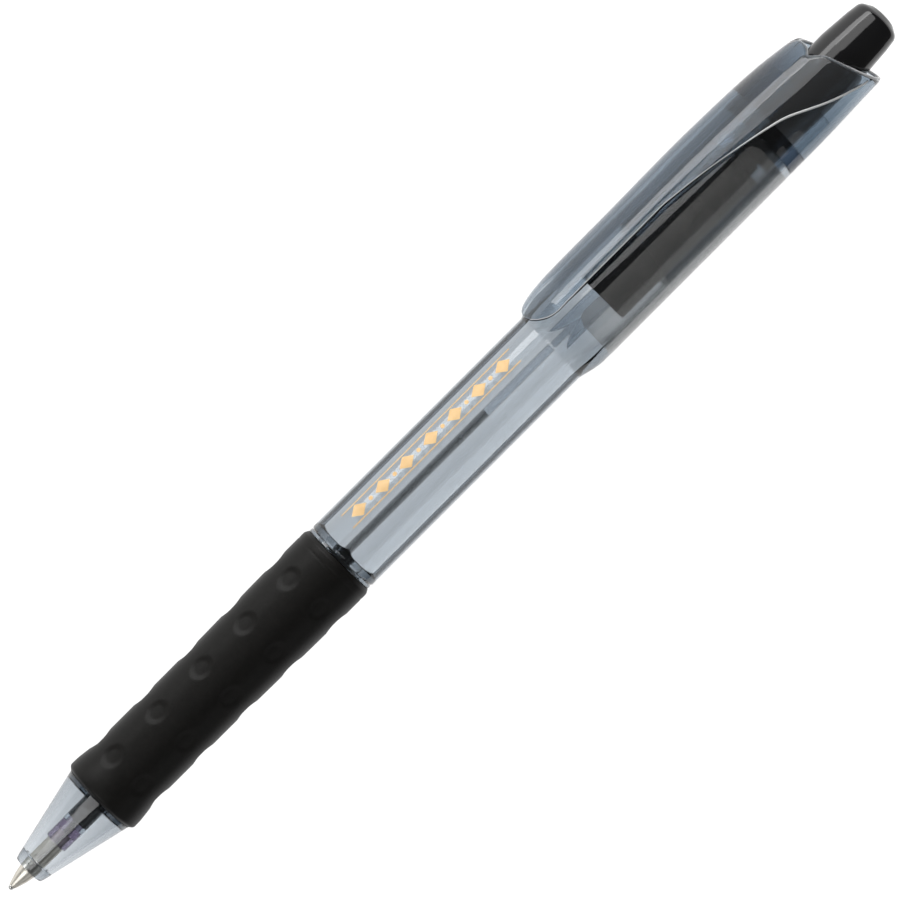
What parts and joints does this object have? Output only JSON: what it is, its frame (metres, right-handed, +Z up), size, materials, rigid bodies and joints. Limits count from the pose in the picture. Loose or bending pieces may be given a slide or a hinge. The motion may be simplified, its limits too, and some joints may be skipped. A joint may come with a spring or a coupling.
{
  "type": "retractable gel pen",
  "caption": "Slim retractable pen with a clear smoke barrel, a dimpled black rubber grip, a hooded clip cap and a black push button, lying on its side.",
  "frame": {"origin": "middle of the underside of the pen's bounding box, on the table that the pen lies on", "axes": "+X along the pen towards the writing tip, +Z up from the table, and the clip points towards -Y and a little up"},
  "size_m": [0.144, 0.0122, 0.0117],
  "materials": {
    "ball_metal": "polished ball",
    "point_metal": "turned nickel silver",
    "holder_plastic": "pale translucent moulding",
    "tube_plastic": "clear soft tube",
    "ink_black": "wet black ink",
    "follower_grease": "translucent grease",
    "spring_steel": "drawn wire",
    "smoke_clear": "clear smoke-tinted, polished",
    "clip_smoke": "blue-grey smoke-tinted, polished",
    "grip_rubber": "soft matte",
    "black_plastic": "satin",
    "mechanism_plastic": "satin acetal",
    "black_gloss": "glossy"
  },
  "bodies": {
    "barrel": {"barrel": "smoke_clear", "guide_sleeve": "smoke_clear", "cam_tube": "black_plastic", "clip_cap": "clip_smoke"},
    "front_section": {"nose_holder": "smoke_clear", "grip_sleeve": "grip_rubber"},
    "refill": {"tip_cone": "point_metal", "tip_holder": "holder_plastic", "ink_tube": "tube_plastic", "ink": "ink_black", "ink_follower": "follower_grease", "spring": "spring_steel"},
    "ball": {"writing_ball": "ball_metal"},
    "rotor": {"rotor": "mechanism_plastic"},
    "button": {"plunger": "mechanism_plastic", "push_button": "black_gloss"},
    "clip": {"clip_arm": "clip_smoke"}
  },
  "joints": [
    {"name": "button_press", "type": "slide", "parent": "barrel", "child": "button", "axis": [-1, 0, 0], "range_m": [-0.0013, 0.0047], "stiffness_N_per_m": 300},
    {"name": "refill_slide", "type": "slide", "parent": "barrel", "child": "refill", "axis": [-1, 0, 0], "range_m": [-0.0013, 0.0047], "deforming": ["spring"]},
    {"name": "rotor_turn", "type": "hinge", "parent": "refill", "child": "rotor", "pos_m": [-0.033, 0.00056, 0.00554], "axis": [1, 0, 0], "continuous": true},
    {"name": "ball_roll", "type": "hinge", "parent": "refill", "child": "ball", "pos_m": [0.07165, 0.00056, 0.00554], "axis": [0, 1, 0], "continuous": true},
    {"name": "clip_flex", "type": "hinge", "parent": "barrel", "child": "clip", "pos_m": [-0.0533, -0.00545, 0.0066], "axis": [0, -0.1736, -0.9848], "range_deg": [0, 4], "stiffness_Nm_per_rad": 3},
    {"name": "front_section_off", "type": "slide", "parent": "barrel", "child": "front_section", "axis": [1, 0, 0], "range_m": [0, 0.06]}
  ],
  "couplings": [
    {"joint": "refill_slide", "follows": "button_press", "ratio": 1}
  ]
}
